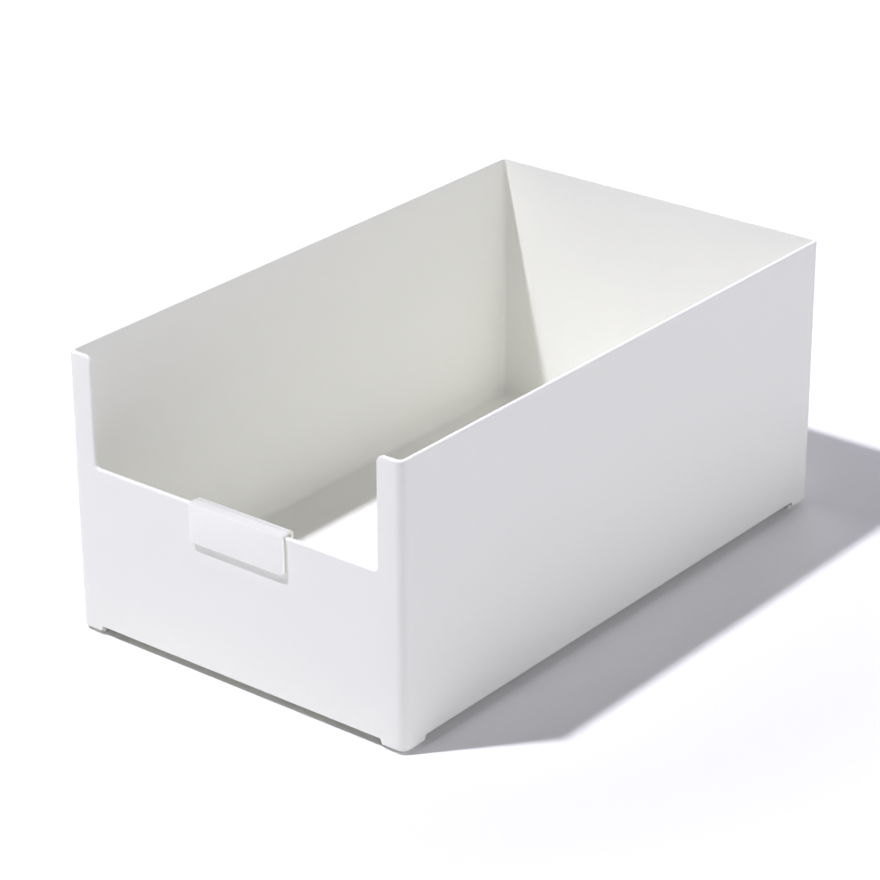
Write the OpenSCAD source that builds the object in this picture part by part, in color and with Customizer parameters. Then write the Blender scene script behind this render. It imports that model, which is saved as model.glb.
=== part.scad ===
// Stackable open box for a drawer or shelf: one moulded box with a low front
// and a clip-on label holder that slides along the front rim.
// Millimetres. +Z up, +Y to the back, origin under the middle of the box.

/* [Box] */
// Outer width, left to right
box_w = 180; // [120:1:300]
// Outer depth, front to back
box_d = 300; // [200:1:450]
// Height of the rim above the ground
box_h = 131; // [100:1:240]
// Thickness of the walls
wall_t = 2; // [1.6:0.1:3]
// Thickness of the floor panel
floor_t = 2; // [1.4:0.1:3.5]
// Height of the floor panel's underside above the ground
floor_lift = 6; // [5.4:0.1:12]
// Radius of the upright outer corners
corner_r = 4; // [3.4:0.1:8]
// Radius of the inside cove where the floor meets the walls
cove_r = 2; // [0.6:0.1:2]

/* [Front opening] */
// Height of the low front rim above the ground
front_h = 80; // [50:0.5:115]
// Width of each corner pillar beside the opening
pillar_w = 13; // [9:0.5:30]
// Radius in the two lower corners of the opening
notch_r = 2; // [0.8:0.1:6]
// Radius at the top inner corner of each pillar
pillar_r = 3.5; // [1.5:0.1:6]

/* [Edges] */
// Rounding of the rim's outer edge
rim_out_r = 0.8; // [0.3:0.1:1.2]
// Rounding of the rim's inner edge
rim_in_r = 0.4; // [0.2:0.1:0.6]
// Rounding of the outer edge along the skirt and the feet
base_edge_r = 0.3; // [0.2:0.1:1]

/* [Stacking base] */
// Height of the skirt edge above the ground
skirt_z = 4.3; // [3.6:0.1:5]
// Height of the corner feet's undersides above the ground
foot_z = 2; // [1:0.1:3]
// Length of each foot along the front and back walls, from the corner
foot_front = 11.5; // [9:0.5:40]
// Length of each foot along the side wall, from the corner
foot_side = 13; // [9:0.5:40]
// Run of the slope at each foot's inner end
foot_slope = 1; // [0.4:0.1:3]
// Clearance between the corner lips and the rim of the box below
stack_gap = 0.5; // [0.2:0.1:1.2]
// Thickness of the corner lips and of the standing ring under the floor
lip_t = 2; // [1.2:0.1:4]
// How far the standing ring is set in from the box's outer faces
ring_inset = 10; // [9:0.5:40]

/* [Label clip] */
// Width of the clip along the rim
clip_w = 51; // [30:0.5:90]
// Place of the clip right of the middle of the front
clip_x = 3.3; // [-20:0.1:20]
// Thickness of the plate, the saddle and the back leg
clip_t = 1.3; // [1:0.1:1.8]
// How far the front plate hangs below the front rim
plate_drop = 16.8; // [12:0.1:35]
// How far the back leg hangs below the front rim
leg_drop = 12; // [6:0.1:30]
// Space between the wall and the back leg
leg_gap = 1.9; // [0.8:0.1:3]
// Clearance between the clip's saddle and the rim
seat_gap = 0.3; // [0.1:0.05:0.5]
// Clearance between the grip rib and the wall
grip_gap = 0.1; // [0.05:0.05:0.3]
// Radius of the front plate's lower corners
plate_r = 2.2; // [0.5:0.1:5]
// Rounding of the saddle's two long edges
saddle_r = 1.2; // [0.3:0.1:1.2]
// Rounding of the saddle's corners at its two ends
saddle_end_r = 1; // [0.2:0.1:1.2]

/* [Label card] */
// Thickness of the card
card_t = 0.25; // [0.15:0.05:0.6]
// Clearance on each face of the card
card_gap = 0.05; // [0.05:0.025:0.3]
// How far the card stops short of each end of the clip
card_end_gap = 0.4; // [0.2:0.1:6]
// How far the card stops short of the plate's lower edge
card_low_gap = 1.2; // [0.2:0.1:3]
// How far the card stops short of the saddle
card_top_gap = 1.2; // [0.2:0.1:3]
// Radius of the card's corners
card_r = 1; // [0.2:0.1:3]

/* [Hidden] */
$fn = 96;
half_w = box_w / 2;
half_d = box_d / 2;
floor_top = floor_lift + floor_t;
straight_x = half_w - corner_r;              // where the upright corners begin
straight_y = half_d - corner_r;
cove = min(cove_r, corner_r - wall_t);       // the cove turns inside the corner
opening_x = half_w - pillar_w;               // half the width of the opening
foot_x = half_w - foot_front;                // where the feet end along the front and back
rim_band = 2 * rim_out_r;                    // depth of the pieces that carry a rounded rim
lip_inset = wall_t + stack_gap;              // lip outer face, in from the box's outer face
lip_mid = lip_inset + lip_t / 2;             // middle of the lip, where neighbours end in it
min_plan_r = 0.3;                            // least radius in plan, deep inside a corner
front_y = -half_d;                           // outer face of the front wall
plate_back_y = front_y - card_t - 2 * card_gap;
plate_front_y = plate_back_y - clip_t;
leg_front_y = front_y + wall_t + leg_gap;
leg_back_y = leg_front_y + clip_t;
clip_bottom = front_h - plate_drop;
saddle_z = front_h + seat_gap;
clip_top = saddle_z + clip_t;
card_bottom = clip_bottom + card_low_gap;
card_h = saddle_z - card_top_gap - card_bottom;
card_w = clip_w - 2 * card_end_gap;
grip_r = leg_gap - grip_gap;                 // the rib reaches almost to the wall
box_white = [0.91, 0.91, 0.92];
clip_milky = [0.93, 0.94, 0.93];
card_white = [0.97, 0.97, 0.96];
cut = 1;                                     // how far a cutter runs past what it cuts

// ---- outlines -------------------------------------------------------------

// What a rounding takes off a corner at the origin, with material at -x, -y
module corner_cut(r) {
    translate([-r, -r]) difference() {
        square(r + cut);
        circle(r);
    }
}

// Wall section from its inner face (x = 0) to its outer face, y = height
module wall_section(low, high, out_low, out_high, in_high) {
    difference() {
        translate([0, low]) square([wall_t, high - low]);
        if (out_high > 0) translate([wall_t, high]) corner_cut(out_high);
        if (in_high > 0) translate([0, high]) mirror([1, 0]) corner_cut(in_high);
        if (out_low > 0) translate([wall_t, low]) mirror([0, 1]) corner_cut(out_low);
    }
}

// Section of a rounded rim piece: x = 0 at the rim's edge, y across the wall,
// with the wall's inner face at y = 0
module rim_section(depth) {
    difference() {
        square([depth, wall_t]);
        translate([0, wall_t]) mirror([1, 0]) corner_cut(rim_out_r);
        mirror([1, 0]) mirror([0, 1]) corner_cut(rim_in_r);
    }
}

// The same, with the rim's edge at radius r and material inside it
module rim_section_convex(r) {
    translate([r, 0]) mirror([1, 0]) rim_section(r);
}

// Cove between the floor and a wall whose inner face is at x = 0
module cove_section() {
    difference() {
        translate([-cove, floor_top - floor_t / 2]) square([cove + wall_t / 2, cove + floor_t / 2]);
        translate([-cove, floor_top + cove]) circle(cove);
    }
}

// Plan of the box, drawn in by inset from its outer faces
module plan(inset) {
    r = max(corner_r - inset, min_plan_r);
    x = half_w - inset;
    y = half_d - inset;
    square([2 * x, 2 * (y - r)], center = true);
    square([2 * (x - r), 2 * y], center = true);
    for (sx = [-1, 1], sy = [-1, 1]) translate([sx * (x - r), sy * (y - r)]) circle(r);
}

// Rounded rectangle with its middle at the origin
module round_rect(w, h, r) {
    square([w, h - 2 * r], center = true);
    square([w - 2 * r, h], center = true);
    for (sx = [-1, 1], sy = [-1, 1]) translate([sx * (w / 2 - r), sy * (h / 2 - r)]) circle(r);
}

// ---- placing --------------------------------------------------------------

// Runs an outline of (x, height) along X, from x0 to x1, on the back wall
module on_back(x0, x1) {
    translate([x0, half_d - wall_t, 0]) rotate([90, 0, 90]) linear_extrude(x1 - x0) children();
}

// The same on the front wall
module on_front(x0, x1) {
    mirror([0, 1, 0]) on_back(x0, x1) children();
}

// Runs an outline along Y, from y0 to y1, on the right wall
module on_right(y0, y1) {
    translate([half_w - wall_t, y1, 0]) rotate([90, 0, 0]) linear_extrude(y1 - y0) children();
}

// Copies for both sides of the box
module both_sides() {
    children();
    mirror([1, 0, 0]) children();
}

// Copies for the front and the back
module both_ends() {
    children();
    mirror([0, 1, 0]) children();
}

// A plate of the front wall's thickness with an outline in (x, z)
module front_plate() {
    translate([0, front_y + wall_t, 0]) rotate([90, 0, 0]) linear_extrude(wall_t) children();
}

// ---- box ------------------------------------------------------------------

// A run of wall that stands on a foot, and one with the raised skirt
module foot_wall() { wall_section(foot_z, box_h, base_edge_r, rim_out_r, rim_in_r); }
module skirt_wall() { wall_section(skirt_z, box_h, base_edge_r, rim_out_r, rim_in_r); }

module upright_corners() {
    both_sides() both_ends() translate([straight_x, straight_y, 0]) rotate_extrude(angle = 90) {
        translate([corner_r - wall_t, 0]) foot_wall();
    }
}

module side_walls() {
    both_sides() {
        foot_end = half_d - foot_side;
        on_right(-foot_end, foot_end) skirt_wall();
        both_ends() on_right(foot_end, straight_y) foot_wall();
    }
}

module back_wall() {
    on_back(-foot_x, foot_x) skirt_wall();
    both_sides() on_back(foot_x, straight_x) foot_wall();
}

// The front wall below the rounded rim pieces
module front_wall_lower() {
    top = front_h - rim_band;
    on_front(-foot_x, foot_x) wall_section(skirt_z, top, base_edge_r, 0, 0);
    both_sides() on_front(foot_x, straight_x) wall_section(foot_z, top, base_edge_r, 0, 0);
}

// The rim that runs along the low front, up the pillars and round their tops
module opening_rim() {
    on_front(-(opening_x - notch_r), opening_x - notch_r)
        wall_section(front_h - rim_band, front_h, 0, rim_out_r, rim_in_r);
    both_sides() {
        // lower corner of the opening
        translate([opening_x - notch_r, front_y + wall_t, front_h + notch_r]) rotate([90, 0, 0])
            rotate([0, 0, -90]) rotate_extrude(angle = 90)
                translate([notch_r, 0]) rim_section(rim_band);
        front_plate() difference() {
            translate([opening_x - notch_r, front_h - rim_band]) square(notch_r + rim_band);
            translate([opening_x - notch_r, front_h + notch_r]) circle(notch_r + rim_band / 2);
        }
        // upright edge of the pillar
        translate([opening_x, front_y + wall_t, front_h + notch_r]) mirror([0, 1, 0])
            linear_extrude(box_h - pillar_r - front_h - notch_r) rim_section(rim_band);
        // rounded top corner of the pillar
        translate([opening_x + pillar_r, front_y + wall_t, box_h - pillar_r]) rotate([90, 0, 0])
            rotate([0, 0, 90]) rotate_extrude(angle = 90) rim_section_convex(pillar_r);
        // top and body of the pillar
        on_front(opening_x + pillar_r, straight_x)
            wall_section(box_h - pillar_r, box_h, 0, rim_out_r, rim_in_r);
        front_plate() translate([opening_x + rim_band, front_h - rim_band])
            square([straight_x - opening_x - rim_band, box_h - pillar_r - front_h + rim_band]);
    }
}

// Cove all round, where the floor meets the walls
module floor_cove() {
    both_sides() on_right(-straight_y, straight_y) cove_section();
    both_ends() on_back(-straight_x, straight_x) cove_section();
    both_sides() both_ends() translate([straight_x, straight_y, 0]) rotate_extrude(angle = 90)
        translate([corner_r - wall_t, 0]) cove_section();
}

module floor_panel() {
    translate([0, 0, floor_lift]) linear_extrude(floor_t) plan(wall_t / 2);
}

// Band under the floor between two insets from the box's outer faces
module base_band(z0, outer, inner) {
    translate([0, 0, z0]) linear_extrude(floor_lift + floor_t / 2 - z0) difference() {
        plan(outer);
        plan(inner);
    }
}

// Ring that the box stands on, out of sight under the floor
module standing_ring() { base_band(0, ring_inset, ring_inset + lip_t); }

// Corner feet, which sit on the rim of the box below, with a short lip behind
// each that drops inside that rim
module feet() {
    intersection() {
        union() {
            base_band(foot_z, wall_t / 2, lip_mid);
            base_band(0, lip_inset, lip_inset + lip_t);
        }
        both_sides() both_ends() translate([foot_x, half_d - foot_side, 0])
            cube([foot_front, foot_side, floor_lift + floor_t]);
    }
    ramp_z = skirt_z + base_edge_r;
    ramp_run = foot_slope * (ramp_z - foot_z) / (skirt_z - foot_z);
    both_sides() both_ends() {
        translate([foot_x, half_d, 0]) rotate([90, 0, 0]) linear_extrude(wall_t)
            polygon([[0, foot_z], [0, ramp_z], [-ramp_run, ramp_z]]);
        translate([half_w - wall_t, half_d - foot_side, 0]) rotate([90, 0, 90])
            linear_extrude(wall_t) polygon([[0, foot_z], [0, ramp_z], [-ramp_run, ramp_z]]);
    }
}

module box_body() {
    color(box_white) union() {
        upright_corners();
        side_walls();
        back_wall();
        front_wall_lower();
        opening_rim();
        floor_cove();
        floor_panel();
        standing_ring();
        feet();
    }
}

// ---- label clip -----------------------------------------------------------

// End view of the clip: front plate, saddle over the rim, back leg, grip rib
module clip_section() {
    difference() {
        union() {
            translate([plate_front_y, clip_bottom]) square([clip_t, clip_top - clip_bottom]);
            translate([plate_front_y, saddle_z])
                square([leg_back_y - plate_front_y, clip_top - saddle_z]);
            translate([leg_front_y, front_h - leg_drop]) square([clip_t, clip_top - front_h + leg_drop]);
            translate([leg_front_y, front_h - leg_drop + grip_r]) circle(grip_r);
        }
        translate([leg_back_y, clip_top]) corner_cut(saddle_r);
        translate([plate_front_y, clip_top]) mirror([1, 0]) corner_cut(saddle_r);
        // trims the rib where it would come through the back of a thin leg
        translate([leg_back_y, clip_bottom]) square([2 * grip_r, clip_top - clip_bottom - saddle_r]);
    }
}

// Front view of the clip, with the plate's rounded lower corners
module clip_front_view() {
    difference() {
        translate([clip_x - clip_w / 2, clip_bottom]) square([clip_w, clip_top - clip_bottom]);
        for (s = [0, 1]) translate([clip_x, 0]) mirror([s, 0]) {
            translate([clip_w / 2, clip_bottom]) mirror([0, 1]) corner_cut(plate_r);
            translate([clip_w / 2, clip_top]) corner_cut(saddle_end_r);
        }
    }
}

module label_clip() {
    color(clip_milky) intersection() {
        translate([clip_x - clip_w / 2 - cut, 0, 0]) rotate([90, 0, 90])
            linear_extrude(clip_w + 2 * cut) clip_section();
        translate([0, leg_back_y + cut, 0]) rotate([90, 0, 0])
            linear_extrude(leg_back_y - plate_front_y + 2 * cut) clip_front_view();
    }
}

// ---- label card -----------------------------------------------------------

module label_card() {
    color(card_white) translate([clip_x, front_y - card_gap, card_bottom + card_h / 2])
        rotate([90, 0, 0]) linear_extrude(card_t) round_rect(card_w, card_h, card_r);
}

box_body();
label_clip();
label_card();
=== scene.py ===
from math import cos, pi, radians, sin

import bmesh
import bpy
from mathutils import Matrix, Vector


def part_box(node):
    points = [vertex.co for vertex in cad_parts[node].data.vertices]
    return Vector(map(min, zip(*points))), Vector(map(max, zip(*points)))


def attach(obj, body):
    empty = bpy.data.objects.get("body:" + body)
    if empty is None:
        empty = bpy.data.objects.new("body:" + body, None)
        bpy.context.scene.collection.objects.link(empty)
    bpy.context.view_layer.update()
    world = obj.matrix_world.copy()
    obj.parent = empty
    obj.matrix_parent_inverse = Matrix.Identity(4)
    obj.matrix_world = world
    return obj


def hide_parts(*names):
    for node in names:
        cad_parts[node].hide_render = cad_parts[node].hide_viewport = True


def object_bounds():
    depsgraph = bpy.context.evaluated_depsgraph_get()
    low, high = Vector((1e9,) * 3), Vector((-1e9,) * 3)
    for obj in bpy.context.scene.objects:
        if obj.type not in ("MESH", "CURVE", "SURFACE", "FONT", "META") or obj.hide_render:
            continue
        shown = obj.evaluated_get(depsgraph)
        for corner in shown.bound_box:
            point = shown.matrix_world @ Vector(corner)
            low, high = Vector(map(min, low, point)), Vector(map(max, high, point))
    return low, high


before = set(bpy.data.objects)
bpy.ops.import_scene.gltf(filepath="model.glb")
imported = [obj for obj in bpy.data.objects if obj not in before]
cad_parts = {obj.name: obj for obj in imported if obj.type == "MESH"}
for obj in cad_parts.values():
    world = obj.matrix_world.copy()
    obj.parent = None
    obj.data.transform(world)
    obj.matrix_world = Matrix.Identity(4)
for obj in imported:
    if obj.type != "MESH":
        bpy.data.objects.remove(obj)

cad_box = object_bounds()
scene = bpy.context.scene
scene.view_settings.view_transform = "Standard"


# ---- Camera ---------------------------------------------------------------
# A long lens, almost a metre and a half away, looks down on the low front and
# the right side, so that the open inside shows over the front rim.

LENS = 129.90            # mm
SENSOR = 36              # mm wide
NEAREST = 0.05           # m, nearer than anything in view
CAMERA_PLACE = (0.79056, -1.00420, 0.65339)
CAMERA_TURN = 38.585     # degrees, to the left of straight ahead
CAMERA_DOWN = 24.891     # degrees, below the horizon
CAMERA_ROLL = -0.256     # degrees

camera_data = bpy.data.cameras.new("camera")
camera_data.lens = LENS
camera_data.sensor_width = SENSOR
camera_data.clip_start = NEAREST
camera = bpy.data.objects.new("camera", camera_data)
camera.matrix_world = (
    Matrix.Translation(CAMERA_PLACE)
    @ Matrix.Rotation(radians(CAMERA_TURN), 4, "Z")
    @ Matrix.Rotation(radians(90 - CAMERA_DOWN), 4, "X")
    @ Matrix.Rotation(radians(CAMERA_ROLL), 4, "Z")
)
scene.collection.objects.link(camera)
scene.camera = camera


# ---- Box ------------------------------------------------------------------
# The box is one injection moulding in white satin polypropylene. Its mould
# was spark-eroded, which leaves a fine even grain on every face, and the
# edges that it slides and stands on are lightly scuffed.

MM = 0.001
BOX_WHITE = (0.943, 0.943, 0.866)
BOX_ROUGHNESS = 0.52
PLASTIC_IOR = 1.49
GRAIN_SIZE = 0.35 * MM
GRAIN_DEPTH = 0.006 * MM
GRAIN_ROUGHENS = 0.08
MOTTLE_SIZE = 60 * MM
MOTTLE_SHOWS = 0.25
MOTTLE_SHADE = 0.985      # of the white, at its darkest
MOTTLE_ROUGHENS = 0.06
SCUFFED_WHITE = (0.80, 0.80, 0.78)
SCUFFS_SHOW = 0.8
SCUFFS_FADE = (0.2 * MM, 2.4 * MM)  # heights above the ground


def operator(operation):
    """An operator's two methods: one for value + 1 and one for 1 + value."""

    def value_first(value, other):
        return value.finish.node("Math", {"operation": operation}, {0: value, 1: other})

    def value_last(value, other):
        return value.finish.node("Math", {"operation": operation}, {0: other, 1: value})

    return value_first, value_last


class Value:
    """A node's output. Arithmetic on it adds Math nodes."""

    __add__, __radd__ = operator("ADD")
    __sub__, __rsub__ = operator("SUBTRACT")
    __mul__, __rmul__ = operator("MULTIPLY")
    __truediv__, __rtruediv__ = operator("DIVIDE")
    __pow__, __rpow__ = operator("POWER")

    def __init__(self, finish, socket):
        self.finish = finish
        self.socket = socket


class Finish:
    """The nodes of a material or a world, and the one way to add them."""

    def __init__(self, owner, output="OutputMaterial"):
        owner.use_nodes = True
        self.owner = owner
        self.tree = owner.node_tree
        self.tree.nodes.clear()
        self.output = self.tree.nodes.new("ShaderNode" + output)

    def feed(self, socket, value):
        """Links one input socket, or sets it. A colour has three numbers."""
        if isinstance(value, Value):
            self.tree.links.new(value.socket, socket)
        elif socket.type == "RGBA":
            socket.default_value = (*value, 1)
        else:
            socket.default_value = value

    def node(self, kind, settings=(), inputs=(), output=0):
        """Adds a node: its settings first, then its sockets' values or links."""
        made = self.tree.nodes.new("ShaderNode" + kind)
        for name, value in dict(settings).items():
            setattr(made, name, value)
        for name, value in dict(inputs).items():
            self.feed(made.inputs[name], value)
        return Value(self, made.outputs[output])

    def blend(self, factor, first, second):
        """Mixes two colours, each of them three numbers or a link."""
        colours = {0: factor, 6: first, 7: second}
        return self.node("Mix", {"data_type": "RGBA"}, colours, output=2)

    def part(self, vector, axis):
        """X, Y or Z of a vector."""
        return self.node("SeparateXYZ", inputs={"Vector": vector}, output=axis)

    def place(self):
        """Object coordinates, in metres."""
        return self.node("TexCoord", output="Object")

    def noise(self, size, detail=2, roughness=0.5):
        """Soft noise from 0 to 1 with features of the given size in metres."""
        inputs = {"Scale": 1 / size, "Detail": detail, "Roughness": roughness}
        return self.node("TexNoise", inputs={"Vector": self.place(), **inputs})

    def ramp(self, value, low, high):
        """0 below low, 1 above high and smooth between."""
        return self.node(
            "MapRange",
            {"interpolation_type": "SMOOTHSTEP"},
            {"Value": value, "From Min": low, "From Max": high},
        )

    def close(self, shader):
        """Ends the nodes in a shader, and gives the material or the world."""
        self.feed(self.output.inputs["Surface"], shader)
        return self.owner

    def surface(self, bump, bump_depth, **sockets):
        """Ends the nodes in a Principled shader, with these of its sockets."""
        inputs = {name.replace("_", " "): value for name, value in sockets.items()}
        inputs["Normal"] = self.node("Bump", inputs={"Height": bump, "Distance": bump_depth})
        return self.close(self.node("BsdfPrincipled", inputs=inputs))


def shade(colour, share):
    """The same colour, with only this share of its light."""
    return tuple(part * share for part in colour)


def moulded_plastic():
    """Satin white, with the mould's grain and a little wear underneath."""
    finish = Finish(bpy.data.materials.new("box_plastic"))
    grain = finish.noise(GRAIN_SIZE, detail=3)
    mottle = finish.noise(MOTTLE_SIZE)
    height = finish.part(finish.place(), "Z")
    scuffs = 1 - finish.ramp(height, *SCUFFS_FADE)
    white = finish.blend(mottle * MOTTLE_SHOWS, BOX_WHITE, shade(BOX_WHITE, MOTTLE_SHADE))
    roughness = BOX_ROUGHNESS + (mottle - 0.5) * MOTTLE_ROUGHENS
    return finish.surface(
        bump=grain,
        bump_depth=GRAIN_DEPTH,
        Base_Color=finish.blend(scuffs * SCUFFS_SHOW, white, SCUFFED_WHITE),
        Roughness=roughness + (grain - 0.5) * GRAIN_ROUGHENS,
        IOR=PLASTIC_IOR,
    )


def paint(piece, material):
    """Gives a piece this one material."""
    piece.data.materials.clear()
    piece.data.materials.append(material)


paint(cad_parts["box_body"], moulded_plastic())


# ---- Label clip -----------------------------------------------------------
# A thin moulding in milky polypropylene that hooks over the front rim. It is
# pushed on from above, and slides along the rim. All its edges are broken.

CLIP_MILKY = (1.0, 1.0, 0.91)
CLIP_ROUGHNESS = 0.42
CLIP_GRAIN_SIZE = 0.5 * MM
CLIP_GRAIN_DEPTH = 0.003 * MM
CLOUD_SIZE = 9 * MM
CLOUD_SHOWS = 0.3
CLOUD_SHADE = 0.98
CLOUD_ROUGHENS = 0.08
# Painted shade: the clip's faces that look up, its saddle, are darkened, and more so over the
# gap past the wall.
PAINTED_SADDLE_SHADE = 0.765         # the saddle, where it lies close over the rim
PAINTED_GAP_SHADE = 0.665         # the saddle, where nothing white is under it
SADDLE_SLOPE = (0.05, 0.75)  # how far up a face looks, from plate to saddle
GAP_FADE = (-0.9 * MM, 0.5 * MM)  # from the wall's inner face to the back
INNER_LIGHT = 0.18        # how much of its light comes from inside
INNER_LIGHT_DEPTH = 2.0 * MM
# Painted glow: the clip emits light of its own, faint on the plate and stronger on its edges.
PAINTED_PLATE_GLOW = 0.035        # light from the white wall, back through the plate
PAINTED_EDGE_GLOW = 0.2           # light that the plate leads out through its edges
EDGE_SLOPE = 0.3          # how far aside or down a face of an edge looks
CLIP_EDGE = 0.2 * MM
CLIP_EDGE_STEPS = 3
CLIP_EDGE_BEND = 35       # degrees, the least that counts as an edge
WALL = 2 * MM
WALL_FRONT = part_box("box_body")[0].y


def copy_of_node(node, name):
    """A new object with a node's mesh, merged so that its faces join up."""
    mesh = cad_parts[node].data.copy()
    mesh.name = name
    shell = bmesh.new()
    shell.from_mesh(mesh)
    bmesh.ops.remove_doubles(shell, verts=shell.verts, dist=MM / 1000)
    shell.to_mesh(mesh)
    shell.free()
    piece = bpy.data.objects.new(name, mesh)
    scene.collection.objects.link(piece)
    return piece


def round_edges(piece):
    """Rounds the sharp edges, and leaves a plain mesh."""
    rounding = piece.modifiers.new("rounding", "BEVEL")
    rounding.width = CLIP_EDGE
    rounding.segments = CLIP_EDGE_STEPS
    rounding.limit_method = "ANGLE"
    rounding.angle_limit = radians(CLIP_EDGE_BEND)
    seen_now = bpy.context.evaluated_depsgraph_get()
    rounded = bpy.data.meshes.new_from_object(piece.evaluated_get(seen_now))
    piece.modifiers.clear()
    piece.data = rounded
    rounded.shade_smooth()


def milky_plastic(name, glow):
    """Milky, with light inside it, a little glossier than the box; its saddle has painted
    shade, and it has a painted glow.
    """
    finish = Finish(bpy.data.materials.new(name))
    grain = finish.noise(CLIP_GRAIN_SIZE, detail=3)
    cloud = finish.noise(CLOUD_SIZE)
    # Painted shade on the saddle, chosen by how far each face looks up.
    upward = finish.part(finish.node("NewGeometry", output="Normal"), "Z")
    saddle_shade_mask = finish.ramp(upward, *SADDLE_SLOPE)
    past_wall = finish.part(finish.place(), "Y") - (WALL_FRONT + WALL)
    # Painted shade, deeper where the saddle reaches past the wall over the gap.
    gap_shade_mask = saddle_shade_mask * finish.ramp(past_wall, *GAP_FADE)
    milky = finish.blend(cloud * CLOUD_SHOWS, CLIP_MILKY, shade(CLIP_MILKY, CLOUD_SHADE))
    # Painted shade on the saddle's upward faces.
    milky = finish.blend(saddle_shade_mask, milky, shade(CLIP_MILKY, PAINTED_SADDLE_SHADE))
    return finish.surface(
        bump=grain,
        bump_depth=CLIP_GRAIN_DEPTH,
        # Painted shade over the gap behind the wall.
        Base_Color=finish.blend(gap_shade_mask, milky, shade(CLIP_MILKY, PAINTED_GAP_SHADE)),
        Roughness=CLIP_ROUGHNESS + (cloud - 0.5) * CLOUD_ROUGHENS,
        IOR=PLASTIC_IOR,
        Subsurface_Weight=INNER_LIGHT,
        Subsurface_Radius=(1, 1, 1),
        Subsurface_Scale=INNER_LIGHT_DEPTH,
        # Painted glow: emission in the clip's own colour.
        Emission_Color=CLIP_MILKY,
        Emission_Strength=glow,
    )


clip = copy_of_node("label_clip", "label_clip_soft_edged")
round_edges(clip)
# The clip's main material has the faint painted glow; the second one has the stronger painted
# glow of the edges.
paint(clip, milky_plastic("clip_plastic", PAINTED_PLATE_GLOW))
clip.data.materials.append(milky_plastic("clip_plastic_painted_edge_glow", PAINTED_EDGE_GLOW))
# The faces of the ends and of the lower edge take the material with the stronger painted glow.
for face in clip.data.polygons:
    at_end = abs(face.normal.x) > EDGE_SLOPE
    at_lower_edge = face.normal.z < -EDGE_SLOPE and face.center.y < WALL_FRONT
    face.material_index = int(at_end or at_lower_edge)
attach(clip, "clip")
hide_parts("label_clip")


# ---- Label card -----------------------------------------------------------
# A blank slip of stiff white paper with rounded corners. It is slid in
# sideways between the clip's plate and the box.

PAPER_WHITE = (0.90, 0.895, 0.825)
PAPER_ROUGHNESS = 0.85
FIBRE_SIZE = 0.25 * MM
FIBRE_DEPTH = 0.01 * MM
FIBRES_SHOW = 0.4
FIBRE_SHADE = 0.95
FIBRES_ROUGHEN = 0.1


def paper():
    """Uncoated white, with fine fibres."""
    finish = Finish(bpy.data.materials.new("card_paper"))
    fibres = finish.noise(FIBRE_SIZE, detail=4, roughness=0.6)
    darker = shade(PAPER_WHITE, FIBRE_SHADE)
    return finish.surface(
        bump=fibres,
        bump_depth=FIBRE_DEPTH,
        Base_Color=finish.blend(fibres * FIBRES_SHOW, PAPER_WHITE, darker),
        Roughness=PAPER_ROUGHNESS + (fibres - 0.5) * FIBRES_ROUGHEN,
    )


paint(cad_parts["label_card"], paper())


# ---- Floor and light ------------------------------------------------------
# The box stands on a wide white floor. One small lamp high up at the front
# left throws the shadows, and three broad soft panels and a faint sky fill them.

KEY_PLACE = (-0.548, -0.889, 2.10)
KEY_RADIUS = 0.049
KEY_WATTS = 170
KEY_TINT = (1.0, 1.0, 1.14)
FILL_TINT = (1.0, 0.995, 1.10)
SKY = (0.06, 0.055, 0.095)
PANEL_SIZE = (1.5, 1.0)
PANEL_DISTANCE = 2.2
# each panel's bearing from the front towards the right and its height above
# the floor, in degrees, and its watts
PANELS = {
    "panel_right": (105, 16, 9.6),
    "panel_back": (210, 16, 18.4),
    "panel_above": (60, 45, 4.6),
}
FLOOR_HALF = 6.0          # m, half the length of a side
FLOOR_WHITE = (0.98, 0.98, 0.93)
FLOOR_LIT = 1.17          # how bright the far floor looks to the camera
FLOOR_FILL = 0.2          # what the panels and the sky give the far floor
FLOOR_FADE = (0.18, 0.42)  # m from the middle, where the far floor takes over


def seen(finish):
    """1 for rays that see the background themselves, and don't carry its light."""
    camera, glossy, transmission = (
        finish.node("LightPath", output="Is %s Ray" % kind)
        for kind in ("Camera", "Glossy", "Transmission")
    )
    return camera + glossy + transmission


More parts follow.
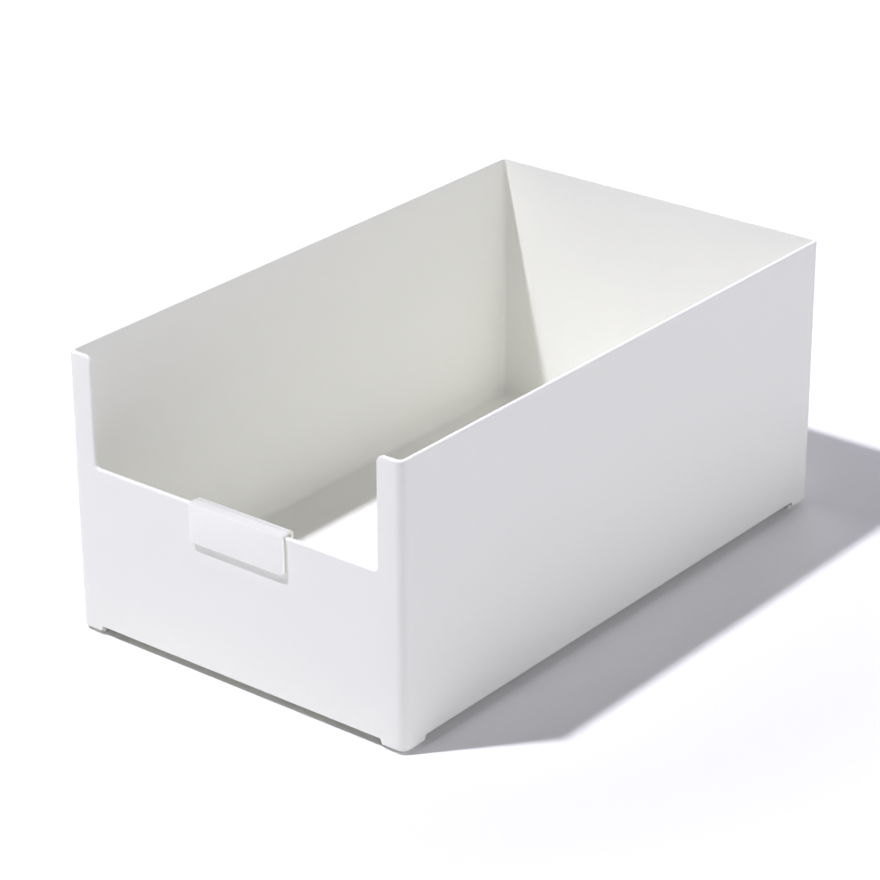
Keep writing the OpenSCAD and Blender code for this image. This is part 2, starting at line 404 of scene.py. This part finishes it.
def white_floor():
    """White, and for the camera evenly lit far away from the lamp too."""
    finish = Finish(bpy.data.materials.new("floor"))
    x = finish.part(finish.place(), "X")
    y = finish.part(finish.place(), "Y")
    east = x - KEY_PLACE[0]
    north = y - KEY_PLACE[1]
    height = KEY_PLACE[2]
    distance = (x * x + y * y) ** 0.5
    lamp_distance = (east * east + north * north + height * height) ** 0.5
    lamp_here = KEY_WATTS * height / (4 * pi * pi) / lamp_distance ** 3
    lacking = FLOOR_LIT - FLOOR_FILL - FLOOR_WHITE[0] * lamp_here
    lacking = finish.node("Clamp", inputs={"Value": lacking})
    glow = lacking * finish.ramp(distance, *FLOOR_FADE) * seen(finish)
    diffuse = finish.node("BsdfDiffuse", inputs={"Color": FLOOR_WHITE})
    emission = finish.node("Emission", inputs={"Color": glow})
    return finish.close(finish.node("AddShader", inputs={0: diffuse, 1: emission}))


floor_corners = [
    (x * FLOOR_HALF, y * FLOOR_HALF, 0) for x, y in ((-1, -1), (1, -1), (1, 1), (-1, 1))
]
floor_mesh = bpy.data.meshes.new("floor")
floor_mesh.from_pydata(floor_corners, [], [(0, 1, 2, 3)])
floor = bpy.data.objects.new("floor", floor_mesh)
scene.collection.objects.link(floor)
paint(floor, white_floor())


def add_lamp(name, kind, place, watts, tint):
    """A lamp that looks at the middle of the box."""
    data = bpy.data.lights.new(name, kind)
    data.energy = watts
    data.color = tint
    lamp = bpy.data.objects.new(name, data)
    lamp.location = place
    aim = Vector((0, 0, cad_box[1].z / 2)) - Vector(place)
    lamp.rotation_euler = aim.to_track_quat("-Z", "Y").to_euler()
    scene.collection.objects.link(lamp)
    return data


def sky_and_backdrop():
    """A faint sky that gives light, and a white backdrop that is only seen."""
    finish = Finish(bpy.data.worlds.new("sky"), "OutputWorld")
    faint = finish.node("Background", inputs={"Color": SKY})
    white = finish.node("Background", inputs={"Color": (1, 1, 1)})
    return finish.close(finish.node("MixShader", inputs={0: seen(finish), 1: faint, 2: white}))


key = add_lamp("key", "POINT", KEY_PLACE, KEY_WATTS, KEY_TINT)
key.shadow_soft_size = KEY_RADIUS
for name, (bearing, height, watts) in PANELS.items():
    reach = PANEL_DISTANCE * cos(radians(height))
    place = (
        reach * sin(radians(bearing)),
        -reach * cos(radians(bearing)),
        PANEL_DISTANCE * sin(radians(height)),
    )
    panel = add_lamp(name, "AREA", place, watts, FILL_TINT)
    panel.shape = "RECTANGLE"
    panel.size, panel.size_y = PANEL_SIZE
scene.world = sky_and_backdrop()
